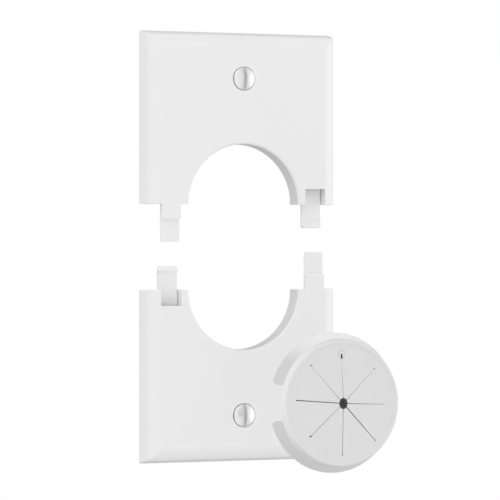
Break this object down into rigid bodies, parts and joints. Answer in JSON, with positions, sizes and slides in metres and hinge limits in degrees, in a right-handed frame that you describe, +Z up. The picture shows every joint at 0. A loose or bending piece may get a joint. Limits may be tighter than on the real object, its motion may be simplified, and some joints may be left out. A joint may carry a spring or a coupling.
{
  "type": "split wall plate with cable grommet",
  "caption": "Two-piece wall plate with a round cable hole, snap tongues, slotted screws and a rubber grommet with radial slits, laid out as separate pieces.",
  "frame": {"origin": "middle of the lower half's back rim along its bottom edge, 1 mm above the plate's lowest edge and on the wall plane", "axes": "+Z up along the plate, +X to the right seen from the front, the plate's face towards -Y and the wall towards +Y"},
  "size_m": [0.0698, 0.0881, 0.1425],
  "materials": {
    "plate_plastic": "smooth white moulded plastic with a soft sheen",
    "painted_screw": "steel painted white to match the plate",
    "grommet_rubber": "soft white rubber, matt with a faint dusty grain"
  },
  "bodies": {
    "lower_plate": {"lower_plate_half": "plate_plastic"},
    "upper_plate": {"upper_plate_half": "plate_plastic"},
    "lower_screw": {"lower_screw": "painted_screw"},
    "upper_screw": {"upper_screw": "painted_screw"},
    "lower_latch": {"lower_latch_tongue": "plate_plastic"},
    "upper_latch": {"upper_latch_tongue": "plate_plastic"},
    "grommet": {"grommet_ring": "grommet_rubber"},
    "petal_1": {"grommet_petal_1": "grommet_rubber"},
    "petal_2": {"grommet_petal_2": "grommet_rubber"},
    "petal_3": {"grommet_petal_3": "grommet_rubber"},
    "petal_4": {"grommet_petal_4": "grommet_rubber"},
    "petal_5": {"grommet_petal_5": "grommet_rubber"},
    "petal_6": {"grommet_petal_6": "grommet_rubber"},
    "petal_7": {"grommet_petal_7": "grommet_rubber"},
    "petal_8": {"grommet_petal_8": "grommet_rubber"}
  },
  "joints": [
    {"name": "halves_close", "type": "slide", "parent": "lower_plate", "child": "upper_plate", "axis": [0, 0, -1], "range_m": [0, 0.0282]},
    {"name": "lower_screw_turn", "type": "hinge", "parent": "lower_plate", "child": "lower_screw", "pos_m": [0, -0.007, 0.01448], "axis": [0, 1, 0], "continuous": true},
    {"name": "upper_screw_turn", "type": "hinge", "parent": "upper_plate", "child": "upper_screw", "pos_m": [0, -0.007, 0.12602], "axis": [0, 1, 0], "continuous": true},
    {"name": "lower_latch_flex", "type": "hinge", "parent": "lower_plate", "child": "lower_latch", "pos_m": [-0.02615, -0.0029, 0.04305], "axis": [-1, 0, 0], "range_deg": [-0.5, 3], "stiffness_Nm_per_rad": 0.5},
    {"name": "upper_latch_flex", "type": "hinge", "parent": "upper_plate", "child": "upper_latch", "pos_m": [0.02615, -0.0029, 0.09745], "axis": [1, 0, 0], "range_deg": [-0.5, 3], "stiffness_Nm_per_rad": 0.5},
    {"name": "grommet_offer_up", "type": "slide", "parent": "lower_plate", "child": "grommet", "axis": [-0.0057, 0.883, 0.4693], "range_m": [0, 0.07372]},
    {"name": "petal_1_bend", "type": "hinge", "parent": "grommet", "child": "petal_1", "pos_m": [0.01342, -0.0789, 0.02675], "axis": [0.2532, 0, -0.9674], "range_deg": [-50, 50], "stiffness_Nm_per_rad": 0.002},
    {"name": "petal_2_bend", "type": "hinge", "parent": "grommet", "child": "petal_2", "pos_m": [0.00612, -0.0789, 0.03476], "axis": [0.9307, 0, -0.3657], "range_deg": [-50, 50], "stiffness_Nm_per_rad": 0.002},
    {"name": "petal_3_bend", "type": "hinge", "parent": "grommet", "child": "petal_3", "pos_m": [-0.00509, -0.0789, 0.03539], "axis": [0.9564, 0, 0.292], "range_deg": [-50, 50], "stiffness_Nm_per_rad": 0.002},
    {"name": "petal_4_bend", "type": "hinge", "parent": "grommet", "child": "petal_4", "pos_m": [-0.01295, -0.0789, 0.02829], "axis": [0.4125, 0, 0.911], "range_deg": [-50, 50], "stiffness_Nm_per_rad": 0.002},
    {"name": "petal_5_bend", "type": "hinge", "parent": "grommet", "child": "petal_5", "pos_m": [-0.01305, -0.0789, 0.01706], "axis": [-0.3795, 0, 0.9252], "range_deg": [-50, 50], "stiffness_Nm_per_rad": 0.002},
    {"name": "petal_6_bend", "type": "hinge", "parent": "grommet", "child": "petal_6", "pos_m": [-0.00506, -0.0789, 0.00832], "axis": [-0.8846, 0, 0.4663], "range_deg": [-50, 50], "stiffness_Nm_per_rad": 0.002},
    {"name": "petal_7_bend", "type": "hinge", "parent": "grommet", "child": "petal_7", "pos_m": [0.00637, -0.0789, 0.00748], "axis": [-0.9388, 0, -0.3444], "range_deg": [-50, 50], "stiffness_Nm_per_rad": 0.002},
    {"name": "petal_8_bend", "type": "hinge", "parent": "grommet", "child": "petal_8", "pos_m": [0.01355, -0.0789, 0.01533], "axis": [-0.2335, 0, -0.9724], "range_deg": [-50, 50], "stiffness_Nm_per_rad": 0.002}
  ]
}
